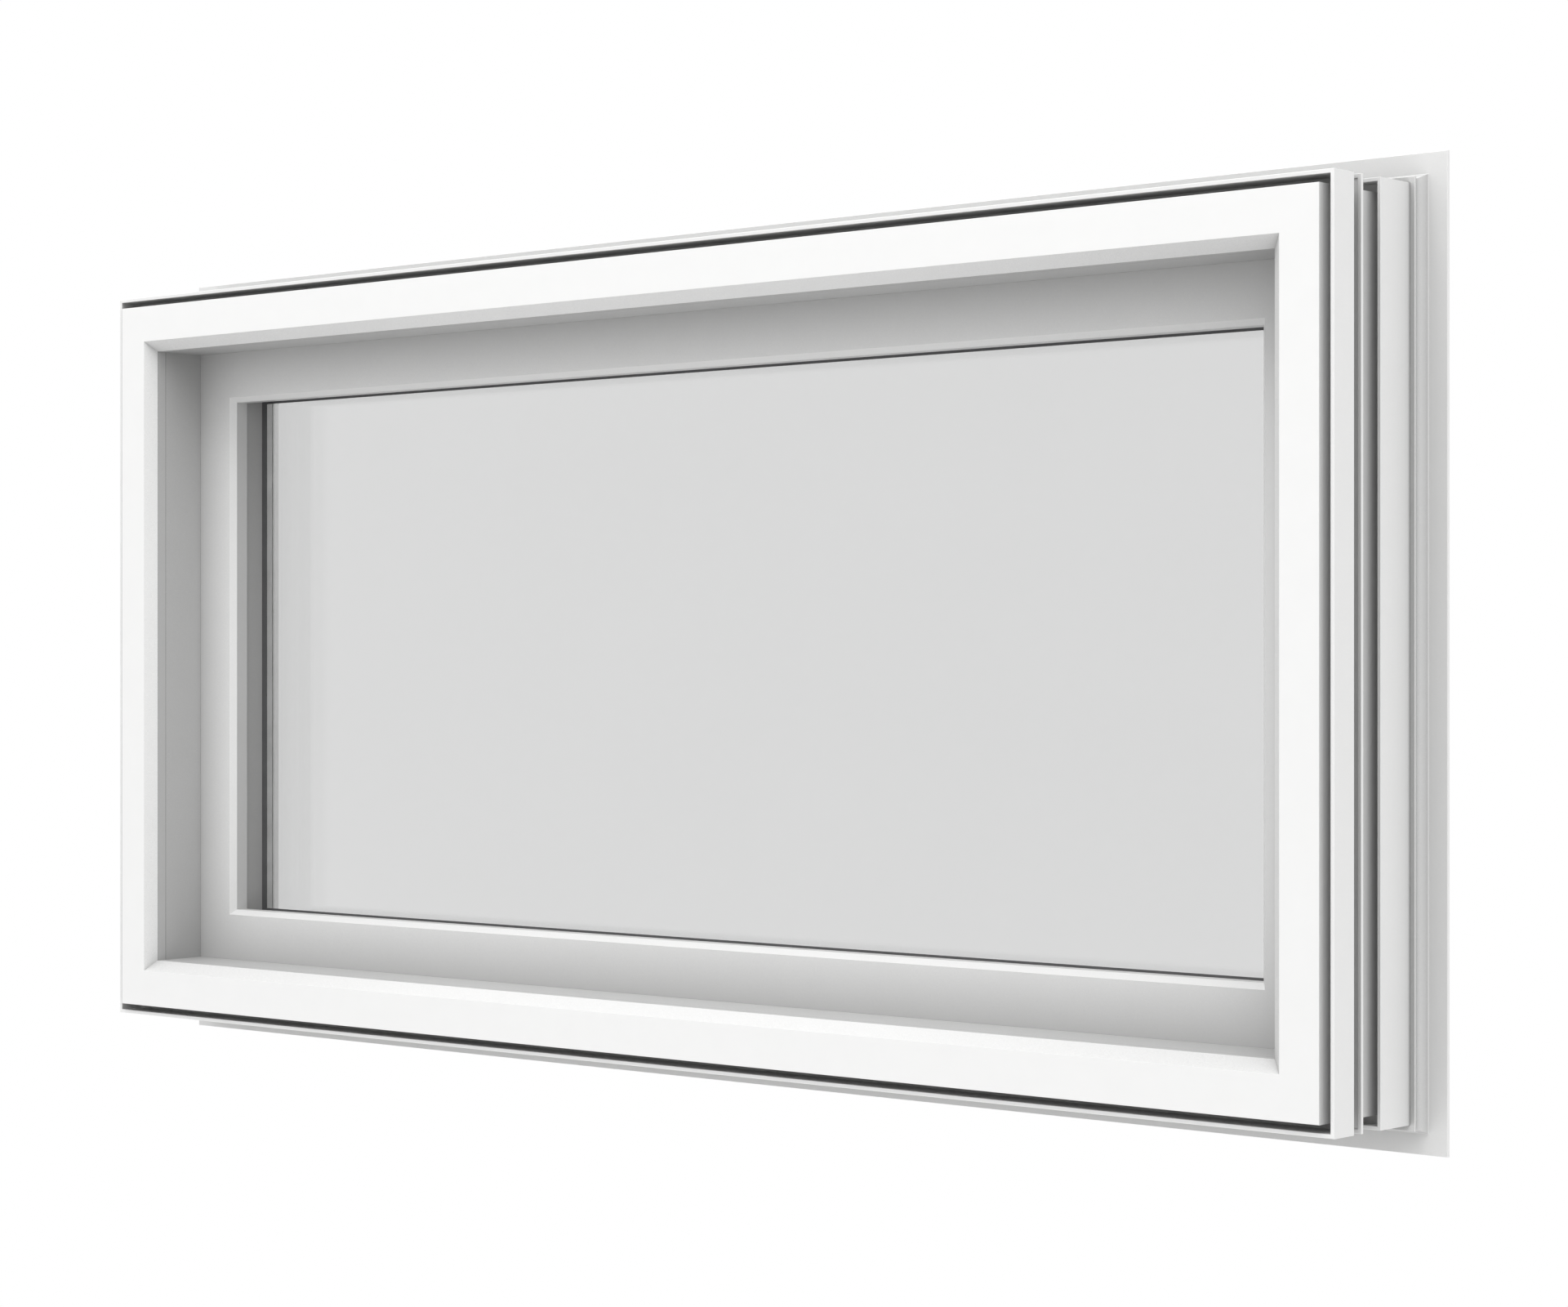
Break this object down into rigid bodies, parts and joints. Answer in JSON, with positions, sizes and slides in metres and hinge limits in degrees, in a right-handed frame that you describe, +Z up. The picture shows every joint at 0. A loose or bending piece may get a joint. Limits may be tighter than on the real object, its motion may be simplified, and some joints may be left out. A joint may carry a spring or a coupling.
{
  "type": "fixed nail-fin window",
  "caption": "Fixed white uPVC window with a nailing fin: mitred hollow frame with lip and groove, bevelled interior cover, deep reveal, sash, glazing bead and sealed double glass.",
  "frame": {"origin": "on the room-facing bearing face of the sill's nailing fin, at mid width and half way up the strip", "axes": "+X along the width, to the right as seen from the room; +Y from the room to the outdoors; +Z up"},
  "size_m": [1.2608, 0.1321, 0.6508],
  "materials": {
    "upvc_frame": "white extruded uPVC, satin",
    "upvc_cover": "white extruded uPVC, satin",
    "upvc_sash": "white extruded uPVC, satin",
    "upvc_bead": "white extruded uPVC, satin",
    "upvc_fin": "white flexible uPVC, matt",
    "gasket_rubber": "dark extruded rubber, matt",
    "glazing_tape": "white foam glazing tape",
    "spacer_strip": "white plastic spacer, matt",
    "inner_glass": "clear float glass",
    "outer_glass": "clear float glass"
  },
  "bodies": {
    "root": {"frame_head": "upvc_frame", "frame_sill": "upvc_frame", "frame_left": "upvc_frame", "frame_right": "upvc_frame", "interior_cover_head": "upvc_cover", "interior_cover_sill": "upvc_cover", "interior_cover_left": "upvc_cover", "interior_cover_right": "upvc_cover", "sash_head": "upvc_sash", "sash_sill": "upvc_sash", "sash_left": "upvc_sash", "sash_right": "upvc_sash", "glazing_bead_head": "upvc_bead", "glazing_bead_sill": "upvc_bead", "glazing_bead_left": "upvc_bead", "glazing_bead_right": "upvc_bead", "gasket_head": "gasket_rubber", "gasket_sill": "gasket_rubber", "gasket_left": "gasket_rubber", "gasket_right": "gasket_rubber", "spacer_head": "spacer_strip", "spacer_sill": "spacer_strip", "spacer_left": "spacer_strip", "spacer_right": "spacer_strip", "glazing_tape_head": "glazing_tape", "glazing_tape_sill": "glazing_tape", "glazing_tape_left": "glazing_tape", "glazing_tape_right": "glazing_tape", "nail_fin_head": "upvc_fin", "nail_fin_sill": "upvc_fin", "nail_fin_left": "upvc_fin", "nail_fin_right": "upvc_fin", "inner_pane": "inner_glass", "outer_pane": "outer_glass"}
  },
  "joints": []
}
